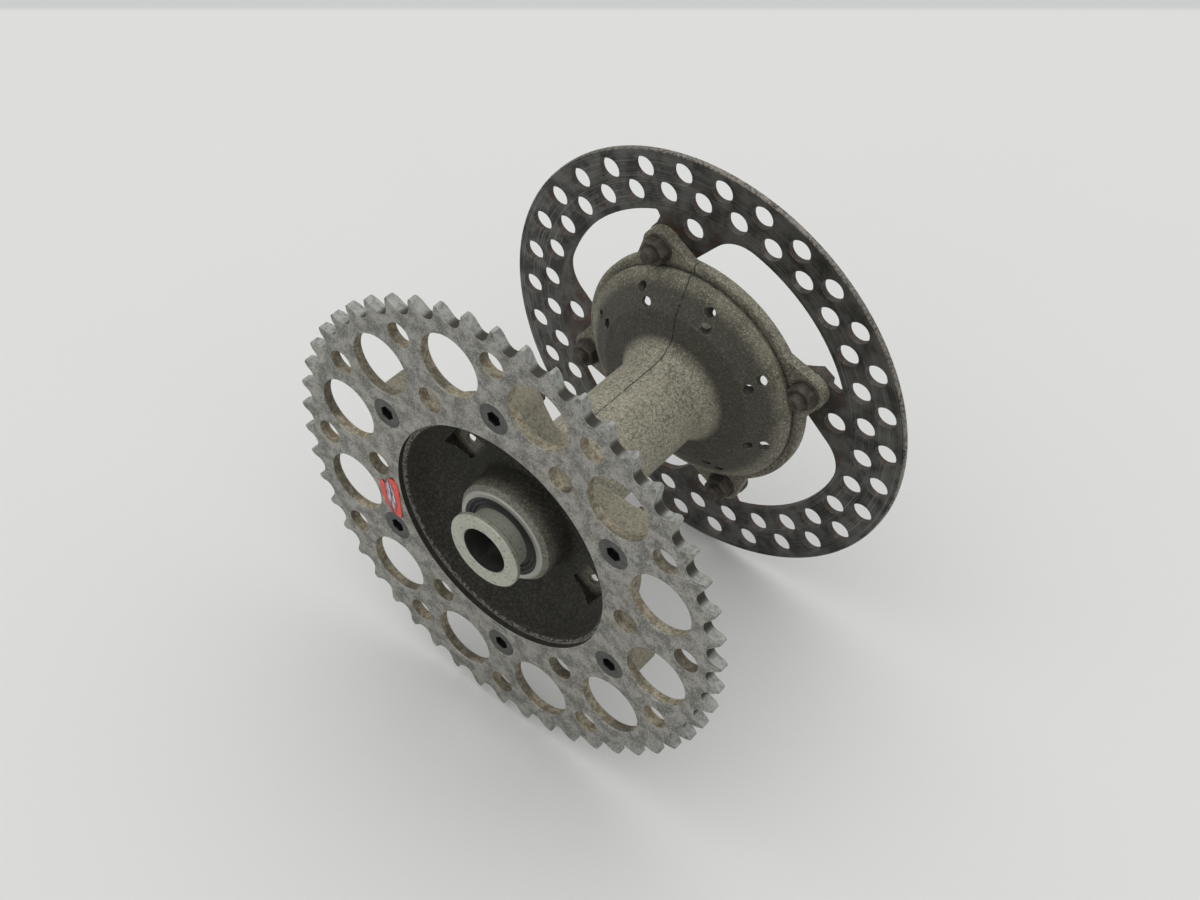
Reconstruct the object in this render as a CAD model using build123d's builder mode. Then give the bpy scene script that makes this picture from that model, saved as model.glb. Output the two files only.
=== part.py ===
"""Rear wheel hub of a motorcycle with its chain sprocket and drilled brake disc.

The axle lies along Y, the sprocket faces -Y and the disc is at +Y. The origin is on the
axle line, in the plane of the sprocket's outer face. Lengths are in millimetres.
"""
import os
from math import atan2, cos, degrees, pi, radians, sin

from build123d import *

# ---- driving dimensions -----------------------------------------------------------------
CHAIN_PITCH = 15.875
ROLLER_DIAMETER = 10.16
TEETH = 50
SPROCKET_THICKNESS = 5.6
SPROCKET_BOLT_CIRCLE = 78.4      # radius
SPROCKET_BOLTS = 6
BOLT_PHASE = 28.5                # angle of the first sprocket bolt from +X
TOOTH_GAP_PHASE = 5.1            # angle of the first tooth gap from +X

DISC_MID_Y = 159.6
DISC_THICKNESS = 3.2
DISC_RADIUS = 123.4
DISC_BAND_INNER = 90.6
DISC_BOLT_CIRCLE = 72.3          # radius
DISC_BOLTS = 4
DISC_PHASE = 19.0                # angle of the first disc bolt from +X

AXLE_RADIUS = 12.5
BEARING_RADIUS = 21.0            # 25 x 42 x 9 deep-groove bearing
BEARING_WIDTH = 9.0
SEAL_RADIUS = 22.1
SLEEVE_RADIUS = 16.0
COLLAR_RADIUS = 20.6
RUNNING_GAP = 0.05               # radial gap between a sleeve and its seal lip
THREAD_RADIUS = 4.0              # M8 fasteners throughout

SPOKE_PAIRS = 8                  # on the disc side
DISC_SIDE_SPOKE_PHASE = 27.2
POCKETS = 4                      # spoke pockets in the bowl, two holes in each
POCKET_PHASE = 57.7
POCKET_CIRCLE = 44.5             # radius

# ---- stations along the axle --------------------------------------------------------------
DISC_FRONT_Y = DISC_MID_Y - DISC_THICKNESS / 2
DISC_BACK_Y = DISC_MID_Y + DISC_THICKNESS / 2
LEFT_BOSS_Y = 2.5
SEAL_WIDTH = 6.5
LEFT_SEAL_Y = LEFT_BOSS_Y + 0.3
CIRCLIP_Y = LEFT_SEAL_Y + SEAL_WIDTH + 0.1
CIRCLIP_WIDTH = 1.2
LEFT_BEARING_Y = CIRCLIP_Y + CIRCLIP_WIDTH
TUBE_START_Y = LEFT_BEARING_Y + BEARING_WIDTH
RIGHT_BOSS_Y = 163.5
RIGHT_SEAL_Y = RIGHT_BOSS_Y - 0.3 - SEAL_WIDTH
RIGHT_BEARING_Y = RIGHT_SEAL_Y - 0.2 - BEARING_WIDTH
COLLAR_OVERHANG = 12.2           # how far each collar stands out of its boss
LEFT_COLLAR_Y = LEFT_BOSS_Y - COLLAR_OVERHANG
RIGHT_COLLAR_Y = RIGHT_BOSS_Y + COLLAR_OVERHANG

# ---- hub casting ----------------------------------------------------------------------------
BARREL_RADIUS = 25.4
CORE_RADIUS = 17.0               # cored-out middle of the barrel
PILOT_RADIUS = 63.45
BOWL_RADIUS = 61.5
PILOT_Y = 3.0
DRUM_RADIUS = 66.6
DRUM_BACK_Y = 26.5
LUG_BACK_Y = 20.5
LUG_RADIUS = 12.0
SPROCKET_FLANGE_RADIUS = 69.0
DISC_FLANGE_RADIUS = 67.8
DISC_LUG_RADIUS = 10.0
DISC_LUG_FRONT_Y = 152.0

os.makedirs("parts", exist_ok=True)


def face_at(y):
    """Sketch plane across the axle at station y: local x is +X, local y is +Z."""
    return Plane.XZ.offset(-y)


def save(part, name):
    part.label = name
    export_step(part, f"parts/{name}.step")


# ---- sprocket ---------------------------------------------------------------------------------
PITCH_RADIUS = CHAIN_PITCH / (2 * sin(pi / TEETH))
TIP_RADIUS = 129.1               # worn down from about 131
SEAT_RADIUS = 0.505 * ROLLER_DIAMETER
TOOTH_RELIEF_RADIUS = PITCH_RADIUS + 0.4
TOOTH_TIP_THICKNESS = 4.4
# open mouth of a gap, outward and around from the roller's centre; one flank is worn back
GAP_MOUTH = ((-3.3, 3.93), (2.41, 8.44), (4.2, 9.85), (4.2, -6.8), (2.54, -6.19), (-0.9, -5.05))

LARGE_HOLE_CIRCLE = 98.0
LARGE_HOLE_RADIUS = 16.7
OUTER_HOLE_CIRCLE = 110.4
OUTER_HOLE_RADIUS = 6.7
INNER_HOLE_CIRCLE = 76.6
INNER_HOLE_RADIUS = 6.9
HEAD_RADIUS = 8.0                # countersunk socket head
HEAD_SINK = 0.5                  # the heads sit this far below the sprocket's face

with BuildPart() as sprocket:
    bevel = (SPROCKET_THICKNESS - TOOTH_TIP_THICKNESS) / 2
    with BuildSketch(Plane.XY):
        with BuildLine():
            Polyline(
                (PILOT_RADIUS + 0.05, 0),
                (TOOTH_RELIEF_RADIUS, 0),
                (TIP_RADIUS, bevel),
                (TIP_RADIUS, SPROCKET_THICKNESS - bevel),
                (TOOTH_RELIEF_RADIUS, SPROCKET_THICKNESS),
                (PILOT_RADIUS + 0.05, SPROCKET_THICKNESS),
                close=True,
            )
        make_face()
    revolve(axis=Axis.Y)
    with BuildSketch(face_at(-1)):
        with PolarLocations(PITCH_RADIUS, TEETH, start_angle=TOOTH_GAP_PHASE):
            Circle(SEAT_RADIUS)
            Polygon(*GAP_MOUTH, align=None)
    extrude(amount=-(SPROCKET_THICKNESS + 2), mode=Mode.SUBTRACT)
    with BuildSketch(face_at(-1)):
        with PolarLocations(LARGE_HOLE_CIRCLE, 12, start_angle=BOLT_PHASE + 15):
            Circle(LARGE_HOLE_RADIUS)
        with PolarLocations(OUTER_HOLE_CIRCLE, 12, start_angle=BOLT_PHASE):
            Circle(OUTER_HOLE_RADIUS)
        with PolarLocations(INNER_HOLE_CIRCLE, 6, start_angle=BOLT_PHASE + 30):
            Circle(INNER_HOLE_RADIUS)
    extrude(amount=-(SPROCKET_THICKNESS + 2), mode=Mode.SUBTRACT)
    round_edges = sprocket.edges().filter_by(GeomType.CIRCLE)
    large_rims = round_edges.filter_by(lambda e: abs(e.radius - LARGE_HOLE_RADIUS) < 0.01)
    chamfer(large_rims, 0.5)
    with Locations(face_at(0)):
        with PolarLocations(SPROCKET_BOLT_CIRCLE, SPROCKET_BOLTS, start_angle=BOLT_PHASE):
            CounterSinkHole(THREAD_RADIUS + 0.2, HEAD_RADIUS + HEAD_SINK + 0.1, counter_sink_angle=90)
save(sprocket.part, "sprocket")


# ---- hub casting -----------------------------------------------------------------------------
POCKET_DEEP = 15.0
POCKET_WIDE = 18.0
POCKET_FLOOR_Y = 25.8
POCKET_HOLE_OFFSET = 3.6         # degrees from the middle of the pocket
POCKET_HOLE_RADIUS = 2.5
POCKET_HOLE_REACH = 9.0
SPOKE_HOLE_RADIUS = 2.7
SPOKE_HOLE_REACH = 7.5


def spoke_hole_plane(angle, radius, y, radial, tangential, axial):
    """Plane of a spoke hole at a polar place, its normal given in radial, tangential, axial."""
    outward = Vector(cos(radians(angle)), 0, sin(radians(angle)))
    around = Vector(-sin(radians(angle)), 0, cos(radians(angle)))
    direction = outward * radial + around * tangential + Vector(0, axial, 0)
    return Plane(origin=outward * radius + Vector(0, y, 0), z_dir=direction)


with BuildPart() as hub:
    with BuildSketch(Plane.XY):
        with BuildLine():
            # bearing boss and bowl, from the seal seat out to the pilot ring
            Polyline(
                (SEAL_RADIUS, LEFT_BOSS_Y), (24.2, LEFT_BOSS_Y), (25.0, 3.2), (27.0, 5.6), (28.2, 19.0)
            )
            ThreePointArc((28.2, 19.0), (29.8, 22.4), (33.5, 23.4))
            Line((33.5, 23.4), (40.0, 23.0))
            ThreePointArc((40.0, 23.0), (54.5, 16.6), (60.6, 5.5))
            Line((60.6, 5.5), (BOWL_RADIUS, PILOT_Y))
            # pilot, sprocket flange and drum
            Polyline(
                (BOWL_RADIUS, PILOT_Y),
                (PILOT_RADIUS, PILOT_Y),
                (PILOT_RADIUS, SPROCKET_THICKNESS),
                (SPROCKET_FLANGE_RADIUS, SPROCKET_THICKNESS),
                (SPROCKET_FLANGE_RADIUS, 13.0),
                (DRUM_RADIUS, 15.0),
                (DRUM_RADIUS, DRUM_BACK_Y - 3),
            )
            RadiusArc((DRUM_RADIUS, DRUM_BACK_Y - 3), (DRUM_RADIUS - 3, DRUM_BACK_Y), -3.0)
            Line((DRUM_RADIUS - 3, DRUM_BACK_Y), (36.0, 31.0))
            ThreePointArc((36.0, 31.0), (28.9, 34.0), (25.9, 41.0))
            # barrel and the dished disc-side drum
            Line((25.9, 41.0), (BARREL_RADIUS, 119.0))
            ThreePointArc((BARREL_RADIUS, 119.0), (27.2, 128.5), (32.2, 134.4))
            Polyline(
                (32.2, 134.4), (45.5, 136.8), (57.6, 144.8), (61.6, 147.6), (63.1, 148.4), (63.1, 150.2),
                (61.9, 150.8), (61.9, 152.0), (66.6, 152.0)
            )
            RadiusArc((66.6, 152.0), (DISC_FLANGE_RADIUS, 153.2), -1.2)
            Polyline(
                (DISC_FLANGE_RADIUS, 153.2), (DISC_FLANGE_RADIUS, 157.0), (60.5, 157.0), (60.0, 153.0)
            )
            # outer recess on the disc side and the right-hand boss
            Polyline((60.0, 153.0), (56.0, 149.6), (44.5, 142.0), (34.0, 140.4))
            ThreePointArc((34.0, 140.4), (30.0, 141.6), (28.6, 145.5))
            Polyline(
                (28.6, 145.5), (27.2, RIGHT_BOSS_Y - 1), (26.2, RIGHT_BOSS_Y), (SEAL_RADIUS, RIGHT_BOSS_Y)
            )
            # seats and the cored bore, back to the start
            Polyline(
                (SEAL_RADIUS, RIGHT_BOSS_Y),
                (SEAL_RADIUS, RIGHT_SEAL_Y),
                (BEARING_RADIUS, RIGHT_SEAL_Y),
                (BEARING_RADIUS, RIGHT_BEARING_Y),
                (BEARING_RADIUS - 2, RIGHT_BEARING_Y),
                (CORE_RADIUS, RIGHT_BEARING_Y - 6),
                (CORE_RADIUS, TUBE_START_Y + 6),
                (BEARING_RADIUS - 2, TUBE_START_Y),
                (BEARING_RADIUS, TUBE_START_Y),
                (BEARING_RADIUS, LEFT_BEARING_Y),
                (SEAL_RADIUS + 0.6, LEFT_BEARING_Y),
                (SEAL_RADIUS + 0.6, CIRCLIP_Y),
                (SEAL_RADIUS, CIRCLIP_Y),
                (SEAL_RADIUS, LEFT_BOSS_Y),
            )
        make_face()
    revolve(axis=Axis.Y)

    # six sprocket lugs, outside the bowl only
    with BuildSketch(face_at(SPROCKET_THICKNESS)):
        with PolarLocations(0, SPROCKET_BOLTS, start_angle=BOLT_PHASE):
            Polygon((62, -24), (81, -11.4), (81, 11.4), (62, 24), align=None)
        with PolarLocations(SPROCKET_BOLT_CIRCLE, SPROCKET_BOLTS, start_angle=BOLT_PHASE):
            Circle(LUG_RADIUS)
        Circle(DRUM_RADIUS - 2.5, mode=Mode.SUBTRACT)
    extrude(amount=-(LUG_BACK_Y - SPROCKET_THICKNESS))

    # four disc lugs, level with the disc's inner face
    with BuildSketch(face_at(DISC_LUG_FRONT_Y)):
        with PolarLocations(0, DISC_BOLTS, start_angle=DISC_PHASE):
            Polygon((62, -20), (76, -9.2), (76, 9.2), (62, 20), align=None)
        with PolarLocations(DISC_BOLT_CIRCLE, DISC_BOLTS, start_angle=DISC_PHASE):
            Circle(DISC_LUG_RADIUS)
        Circle(61.0, mode=Mode.SUBTRACT)
    extrude(amount=-(DISC_FRONT_Y - DISC_LUG_FRONT_Y))

    # bolt holes
    with BuildSketch(face_at(0)):
        with PolarLocations(SPROCKET_BOLT_CIRCLE, SPROCKET_BOLTS, start_angle=BOLT_PHASE):
            Circle(THREAD_RADIUS + 0.2)
    extrude(amount=-(LUG_BACK_Y + 2), mode=Mode.SUBTRACT)
    with BuildSketch(face_at(DISC_LUG_FRONT_Y - 3)):
        with PolarLocations(DISC_BOLT_CIRCLE, DISC_BOLTS, start_angle=DISC_PHASE):
            Circle(THREAD_RADIUS + 0.2)
    extrude(amount=-12, mode=Mode.SUBTRACT)

    # spoke pockets in the bowl, each with two holes leaning apart
    with BuildSketch(face_at(10)) as pockets:
        with PolarLocations(POCKET_CIRCLE, POCKETS, start_angle=POCKET_PHASE):
            RectangleRounded(POCKET_DEEP, POCKET_WIDE, 1.5)
    extrude(amount=-(POCKET_FLOOR_Y - 10), mode=Mode.SUBTRACT)
    for k in range(POCKETS):
        for lean in (-1, 1):
            angle = POCKET_PHASE + 360 * k / POCKETS + POCKET_HOLE_OFFSET * lean
            start = spoke_hole_plane(angle, POCKET_CIRCLE, POCKET_FLOOR_Y + 2.2, 0.0, 0.57 * lean, 0.82)
            with BuildSketch(start):
                Circle(POCKET_HOLE_RADIUS)
            extrude(amount=POCKET_HOLE_REACH, both=True, mode=Mode.SUBTRACT)

    # pairs of holes on the disc side, the inner one and the outer one leaning opposite ways
    for k in range(SPOKE_PAIRS):
        turn = DISC_SIDE_SPOKE_PHASE + 360 * k / SPOKE_PAIRS
        for radius, y, offset, lean in ((54.9, 142.9, 2.0, -0.5), (48.4, 138.6, -2.0, 0.5)):
            start = spoke_hole_plane(turn + offset, radius, y, -0.28, lean, 0.82)
            with BuildSketch(start):
                Circle(SPOKE_HOLE_RADIUS)
            extrude(amount=SPOKE_HOLE_REACH, both=True, mode=Mode.SUBTRACT)
save(hub.part, "hub_shell")


# ---- brake disc -----------------------------------------------------------------------------
ROTOR_HOLE_RADIUS = 6.0
OUTER_ROW = 113.2
INNER_ROW = 100.5
ROW_HOLES = 30
ROW_PHASE = -142.1
SPARE_HOLE_CIRCLE = 83.6
TAB_LEAD = 1.5                   # fillet at the leading edge of each arm
TAB_TRAIL = 20.0                 # fillet at its trailing edge


def angle_in_arm(point):
    """Angle of a point from the bolt of the nearest arm, within -45 to 45 degrees."""
    turned = degrees(atan2(point.Z, point.X)) - DISC_PHASE
    return (turned + 45) % 90 - 45


with BuildPart() as disc:
    with BuildSketch(face_at(DISC_FRONT_Y)):
        Circle(DISC_RADIUS)
        Circle(DISC_BAND_INNER, mode=Mode.SUBTRACT)
        with PolarLocations(0, DISC_BOLTS, start_angle=DISC_PHASE):
            Polygon(
                (92.0, 0.5), (86.8, -0.4), (80.9, 4.7), (77.0, 8.8), (72.3, 10.2), (67.8, 10.2),
                (62.0, 7.0), (62.5, -12.6), (84.0, -52.2),
                align=None,
            )
        with PolarLocations(DISC_BOLT_CIRCLE, DISC_BOLTS, start_angle=DISC_PHASE):
            Circle(10.6)
    extrude(amount=-DISC_THICKNESS)
    arm_corners = disc.edges().filter_by(Axis.Y).filter_by(
        lambda e: abs(Vector(e.center().X, 0, e.center().Z).length - DISC_BAND_INNER) < 0.05
    )
    leading = arm_corners.filter_by(lambda e: angle_in_arm(e.center()) > -15)
    trailing = arm_corners.filter_by(lambda e: angle_in_arm(e.center()) <= -15)
    fillet(leading, TAB_LEAD)
    fillet(trailing, TAB_TRAIL)
    with BuildSketch(face_at(DISC_FRONT_Y - 1)):
        with PolarLocations(OUTER_ROW, ROW_HOLES, start_angle=ROW_PHASE):
            Circle(ROTOR_HOLE_RADIUS)
        with PolarLocations(INNER_ROW, ROW_HOLES, start_angle=ROW_PHASE + 180 / ROW_HOLES):
            Circle(ROTOR_HOLE_RADIUS)
        with PolarLocations(SPARE_HOLE_CIRCLE, DISC_BOLTS, start_angle=DISC_PHASE - 13.8):
            Circle(ROTOR_HOLE_RADIUS)
        with PolarLocations(DISC_BOLT_CIRCLE, DISC_BOLTS, start_angle=DISC_PHASE):
            Circle(THREAD_RADIUS + 0.1)
    extrude(amount=-(DISC_THICKNESS + 2), mode=Mode.SUBTRACT)
    rim = disc.edges().filter_by(GeomType.CIRCLE).filter_by(lambda e: abs(e.radius - DISC_RADIUS) < 0.01)
    chamfer(rim, 0.6)
save(disc.part, "brake_disc")


# ---- fasteners ------------------------------------------------------------------------------
NUT_ACROSS_FLATS = 13.0
NUT_HEIGHT = 6.5
WASHER_THICKNESS = 1.2
WASHER_RADIUS = 8.0
SOCKET_ACROSS_FLATS = 7.2
SOCKET_DEPTH = 3.0
BOLT_END = 2.2                   # thread standing out of a sprocket nut
STUD_END = 4.6                   # thread standing out of a disc nut


def hex_radius(across_flats):
    return across_flats / 2 / cos(radians(30))


SPROCKET_WASHER_Y = LUG_BACK_Y
SPROCKET_NUT_Y = SPROCKET_WASHER_Y + WASHER_THICKNESS
SPROCKET_BOLT_END_Y = SPROCKET_NUT_Y + NUT_HEIGHT + BOLT_END
head_depth = HEAD_RADIUS - THREAD_RADIUS

with BuildPart() as sprocket_bolts:
    with BuildSketch(face_at(HEAD_SINK)):
        with PolarLocations(SPROCKET_BOLT_CIRCLE, SPROCKET_BOLTS, start_angle=BOLT_PHASE):
            Circle(HEAD_RADIUS)
    extrude(amount=-head_depth, taper=45)
    with BuildSketch(face_at(HEAD_SINK + head_depth - 0.5)):
        with PolarLocations(SPROCKET_BOLT_CIRCLE, SPROCKET_BOLTS, start_angle=BOLT_PHASE):
            Circle(THREAD_RADIUS)
    extrude(amount=-(SPROCKET_BOLT_END_Y - HEAD_SINK - head_depth + 0.5))
    tips = sprocket_bolts.faces().filter_by(Axis.Y).group_by(Axis.Y)[-1].edges()
    chamfer(tips, 0.8)
    with BuildSketch(face_at(HEAD_SINK)):
        with PolarLocations(SPROCKET_BOLT_CIRCLE, SPROCKET_BOLTS, start_angle=BOLT_PHASE):
            RegularPolygon(hex_radius(SOCKET_ACROSS_FLATS), 6, rotation=12)
    extrude(amount=-SOCKET_DEPTH, mode=Mode.SUBTRACT)
save(sprocket_bolts.part, "sprocket_bolts")

with BuildPart() as sprocket_washers:
    with BuildSketch(face_at(SPROCKET_WASHER_Y)):
        with PolarLocations(SPROCKET_BOLT_CIRCLE, SPROCKET_BOLTS, start_angle=BOLT_PHASE):
            Circle(WASHER_RADIUS)
            Circle(THREAD_RADIUS + 0.1, mode=Mode.SUBTRACT)
    extrude(amount=-WASHER_THICKNESS)
save(sprocket_washers.part, "sprocket_washers")

with BuildPart() as sprocket_nuts:
    with BuildSketch(face_at(SPROCKET_NUT_Y)):
        with PolarLocations(SPROCKET_BOLT_CIRCLE, SPROCKET_BOLTS, start_angle=BOLT_PHASE):
            RegularPolygon(hex_radius(NUT_ACROSS_FLATS), 6)
            Circle(THREAD_RADIUS, mode=Mode.SUBTRACT)
    extrude(amount=-NUT_HEIGHT)
    outer_faces = sprocket_nuts.faces().filter_by(Axis.Y).group_by(Axis.Y)[-1]
    chamfer(outer_faces.edges().filter_by(GeomType.LINE), 0.6)
save(sprocket_nuts.part, "sprocket_nuts")

DISC_NUT_HEIGHT = 5.5
DISC_WASHER_Y = DISC_LUG_FRONT_Y - WASHER_THICKNESS
DISC_NUT_Y = DISC_WASHER_Y - DISC_NUT_HEIGHT
DISC_STUD_END_Y = DISC_NUT_Y - STUD_END
HEAD_HEIGHT = 5.3
HEAD_FLANGE_RADIUS = 8.8
HEAD_FLANGE_HEIGHT = 1.4

with BuildPart() as disc_bolts:
    with BuildSketch(face_at(DISC_BACK_Y)):
        with PolarLocations(DISC_BOLT_CIRCLE, DISC_BOLTS, start_angle=DISC_PHASE):
            Circle(HEAD_FLANGE_RADIUS)
    extrude(amount=-HEAD_FLANGE_HEIGHT)
    with BuildSketch(face_at(DISC_BACK_Y)):
        with PolarLocations(DISC_BOLT_CIRCLE, DISC_BOLTS, start_angle=DISC_PHASE):
            RegularPolygon(hex_radius(NUT_ACROSS_FLATS), 6, rotation=8)
    extrude(amount=-(HEAD_FLANGE_HEIGHT + HEAD_HEIGHT))
    chamfer(disc_bolts.faces().filter_by(Axis.Y).group_by(Axis.Y)[-1].edges(), 0.7)
    with BuildSketch(face_at(DISC_BACK_Y)):
        with PolarLocations(DISC_BOLT_CIRCLE, DISC_BOLTS, start_angle=DISC_PHASE):
            Circle(THREAD_RADIUS)
    extrude(amount=DISC_BACK_Y - DISC_STUD_END_Y)
    chamfer(disc_bolts.faces().filter_by(Axis.Y).group_by(Axis.Y)[0].edges(), 0.9)
save(disc_bolts.part, "disc_bolts")

with BuildPart() as disc_washers:
    with BuildSketch(face_at(DISC_WASHER_Y)):
        with PolarLocations(DISC_BOLT_CIRCLE, DISC_BOLTS, start_angle=DISC_PHASE):
            Circle(WASHER_RADIUS)
            Circle(THREAD_RADIUS + 0.1, mode=Mode.SUBTRACT)
    extrude(amount=-WASHER_THICKNESS)
save(disc_washers.part, "disc_washers")

with BuildPart() as disc_nuts:
    with BuildSketch(face_at(DISC_NUT_Y)):
        with PolarLocations(DISC_BOLT_CIRCLE, DISC_BOLTS, start_angle=DISC_PHASE):
            RegularPolygon(hex_radius(NUT_ACROSS_FLATS), 6, rotation=20)
            Circle(THREAD_RADIUS, mode=Mode.SUBTRACT)
    extrude(amount=-DISC_NUT_HEIGHT)
    front_faces = disc_nuts.faces().filter_by(Axis.Y).group_by(Axis.Y)[0]
    chamfer(front_faces.edges().filter_by(GeomType.LINE), 0.7)
save(disc_nuts.part, "disc_nuts")


# ---- wheel bearings ---------------------------------------------------------------------------
BALL_RADIUS = 2.4
BALLS = 12
BALL_CIRCLE = 16.75              # radius
GROOVE_RADIUS = 2.46
INNER_RING_RADIUS = 15.0
OUTER_RING_BORE = 18.5
SHIELD_THICKNESS = 0.8
SHIELD_BORE = 15.3
CAGE_WIDTH = 6.2
CAGE_INNER = 15.6
CAGE_OUTER = 17.9


def make_ring(inner, outer, y, width, edge, grooved=False):
    """Turned ring with its edges broken by edge; a grooved ring has the ball track cut in."""
    with BuildPart() as ring:
        with BuildSketch(Plane.XY):
            with BuildLine():
                Polyline(
                    (inner, y + edge), (inner + edge, y), (outer - edge, y), (outer, y + edge),
                    (outer, y + width - edge), (outer - edge, y + width),
                    (inner + edge, y + width), (inner, y + width - edge),
                    close=True,
                )
            make_face()
            if grooved:
                with Locations((BALL_CIRCLE, y + width / 2)):
                    Circle(GROOVE_RADIUS, mode=Mode.SUBTRACT)
        revolve(axis=Axis.Y)
    return ring


def make_cage(y):
    """Cage ring with a round window for each ball."""
    with BuildPart() as cage:
        with BuildSketch(Plane.XY):
            with Locations(((CAGE_INNER + CAGE_OUTER) / 2, y)):
                Rectangle(CAGE_OUTER - CAGE_INNER, CAGE_WIDTH)
        revolve(axis=Axis.Y)
        for k in range(BALLS):
            turn = 2 * pi * k / BALLS
            with BuildSketch(Plane(origin=(0, y, 0), z_dir=(cos(turn), 0, sin(turn)))):
                Circle(BALL_RADIUS + 0.15)
            extrude(amount=CAGE_OUTER + 2, mode=Mode.SUBTRACT)
    return cage


def make_bearing(side, y):
    """Write the five pieces of the bearing whose outer face starts at station y."""
    outer_ring = make_ring(OUTER_RING_BORE, BEARING_RADIUS, y, BEARING_WIDTH, 0.3, grooved=True)
    save(outer_ring.part, f"{side}_bearing_outer_ring")
    inner_ring = make_ring(AXLE_RADIUS, INNER_RING_RADIUS, y, BEARING_WIDTH, 0.3, grooved=True)
    save(inner_ring.part, f"{side}_bearing_inner_ring")
    ball_plane = face_at(y + BEARING_WIDTH / 2)
    with BuildPart() as balls:
        with Locations(ball_plane):
            with PolarLocations(BALL_CIRCLE, BALLS):
                Sphere(BALL_RADIUS)
    save(balls.part, f"{side}_bearing_balls")
    cage = make_cage(y + BEARING_WIDTH / 2)
    save(cage.part, f"{side}_bearing_cage")
    with BuildPart() as shields:
        for start in (y + 0.2, y + BEARING_WIDTH - 0.2 - SHIELD_THICKNESS):
            with BuildSketch(face_at(start)):
                Circle(OUTER_RING_BORE)
                Circle(SHIELD_BORE, mode=Mode.SUBTRACT)
            extrude(amount=-SHIELD_THICKNESS)
    save(shields.part, f"{side}_bearing_shields")


make_bearing("left", LEFT_BEARING_Y)
make_bearing("right", RIGHT_BEARING_Y)

tube_length = RIGHT_BEARING_Y - TUBE_START_Y
tube = make_ring(AXLE_RADIUS + 0.3, INNER_RING_RADIUS - 0.2, TUBE_START_Y, tube_length, 0.3)
save(tube.part, "distance_tube")

with BuildPart() as circlip:
    with BuildSketch(face_at(CIRCLIP_Y)):
        Circle(SEAL_RADIUS + 0.5)
        Circle(SEAL_RADIUS - 2.4, mode=Mode.SUBTRACT)
        with Locations((0, -SEAL_RADIUS)):
            Rectangle(7, 8, mode=Mode.SUBTRACT)
        for ear in (-5.6, 5.6):
            with Locations((ear, -SEAL_RADIUS + 3.2)):
                Circle(2.3)
        for ear in (-5.6, 5.6):
            with Locations((ear, -SEAL_RADIUS + 3.2)):
                Circle(0.9, mode=Mode.SUBTRACT)
    extrude(amount=-CIRCLIP_WIDTH)
save(circlip.part, "bearing_circlip")


# ---- seals and collars --------------------------------------------------------------------------
LIP_RADIUS = SLEEVE_RADIUS + RUNNING_GAP


def make_seal(name, y, way):
    """Dust seal; y is its outer face and way is +1 when that face looks toward -Y."""
    with BuildPart() as seal:
        with BuildSketch(Plane.XY):
            with BuildLine():
                Polyline(
                    (SEAL_RADIUS, y + 0.4 * way), (SEAL_RADIUS - 0.4, y), (20.4, y), (20.0, y + 0.5 * way),
                    (19.4, y + 0.9 * way), (18.8, y + 0.5 * way), (18.2, y + 0.3 * way),
                    (17.6, y + 1.0 * way), (17.0, y + 0.5 * way), (LIP_RADIUS + 0.2, y - 0.1 * way),
                    (LIP_RADIUS, y + 0.2 * way), (LIP_RADIUS, y + 1.0 * way), (17.1, y + 2.4 * way),
                    (LIP_RADIUS + 0.05, y + 4.4 * way), (LIP_RADIUS + 0.1, y + 5.2 * way),
                    (17.8, y + 5.8 * way), (18.2, y + 3.0 * way), (19.6, y + 3.0 * way),
                    (19.6, y + SEAL_WIDTH * way), (SEAL_RADIUS, y + SEAL_WIDTH * way),
                    close=True,
                )
            make_face()
        revolve(axis=Axis.Y)
    save(seal.part, name)


make_seal("left_dust_seal", LEFT_SEAL_Y, 1)
make_seal("right_dust_seal", RIGHT_SEAL_Y + SEAL_WIDTH, -1)

COLLAR_FLANGE = 2.8
COLLAR_NOSE_RADIUS = 14.7
COLLAR_NOSE = 1.6


def make_collar(name, y, end_y):
    """Flanged collar from its outer face at y to the bearing's inner ring at end_y."""
    way = 1 if end_y > y else -1
    with BuildPart() as collar:
        with BuildSketch(Plane.XY):
            with BuildLine():
                Polyline(
                    (AXLE_RADIUS + 0.6, y), (COLLAR_RADIUS - 0.6, y), (COLLAR_RADIUS, y + 0.6 * way),
                    (COLLAR_RADIUS, y + (COLLAR_FLANGE - 0.3) * way),
                    (COLLAR_RADIUS - 0.3, y + COLLAR_FLANGE * way),
                    (SLEEVE_RADIUS + 0.3, y + COLLAR_FLANGE * way),
                    (SLEEVE_RADIUS, y + (COLLAR_FLANGE + 0.3) * way),
                    (SLEEVE_RADIUS, end_y - (COLLAR_NOSE + 0.5) * way),
                    (SLEEVE_RADIUS - 0.5, end_y - COLLAR_NOSE * way),
                    (COLLAR_NOSE_RADIUS, end_y - COLLAR_NOSE * way),
                    (COLLAR_NOSE_RADIUS, end_y), (AXLE_RADIUS, end_y), (AXLE_RADIUS, y + 0.6 * way),
                    close=True,
                )
            make_face()
        revolve(axis=Axis.Y)
    save(collar.part, name)


make_collar("left_collar", LEFT_COLLAR_Y, LEFT_BEARING_Y)
make_collar("right_collar", RIGHT_COLLAR_Y, RIGHT_BEARING_Y + BEARING_WIDTH)


# ---- worn plain patch stuck to the sprocket's face ---------------------------------------------
PATCH_THICKNESS = 0.25
with BuildPart() as patch:
    with BuildSketch(face_at(-PATCH_THICKNESS)):
        with BuildLine():
            Spline(
                (-68.6, -6.2), (-70.9, -4.6), (-74.2, -9.4), (-77.2, -15.0), (-76.6, -20.4),
                (-74.4, -23.6), (-72.2, -28.4), (-67.6, -29.6), (-66.6, -22.0), (-66.9, -13.0),
                periodic=True,
            )
        make_face()
    extrude(amount=-PATCH_THICKNESS)
save(patch.part, "sprocket_patch")
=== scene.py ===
import math
import random

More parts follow.
